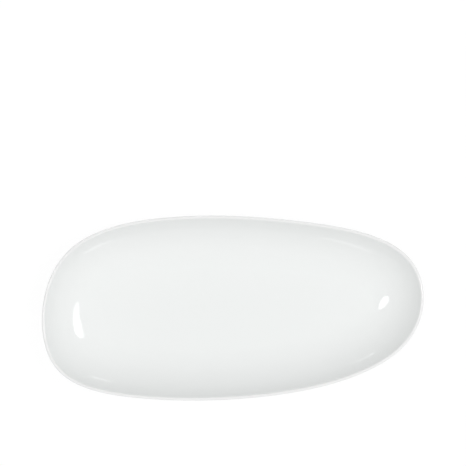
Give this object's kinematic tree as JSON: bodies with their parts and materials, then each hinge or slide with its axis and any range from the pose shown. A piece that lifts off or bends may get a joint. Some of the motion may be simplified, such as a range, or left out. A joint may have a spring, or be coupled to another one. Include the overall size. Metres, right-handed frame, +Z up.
{
  "type": "asparagus plate",
  "caption": "Long egg-shaped porcelain coupe plate with a coved wall, a rounded rim and a foot ring, for serving asparagus or other long food.",
  "frame": {"origin": "centre of the outline's box, on the table that the plate stands on", "axes": "+X from the blunt end to the nose, +Y from the front edge to the back edge, +Z up"},
  "size_m": [0.38, 0.184, 0.036],
  "materials": {
    "porcelain": "bare fired porcelain, matt, ground smooth on the standing edge",
    "glaze": "clear glossy glaze over white porcelain"
  },
  "bodies": {
    "root": {"porcelain_body": "porcelain", "foot_ring": "porcelain", "outer_glaze": "glaze", "base_glaze": "glaze"}
  },
  "joints": []
}
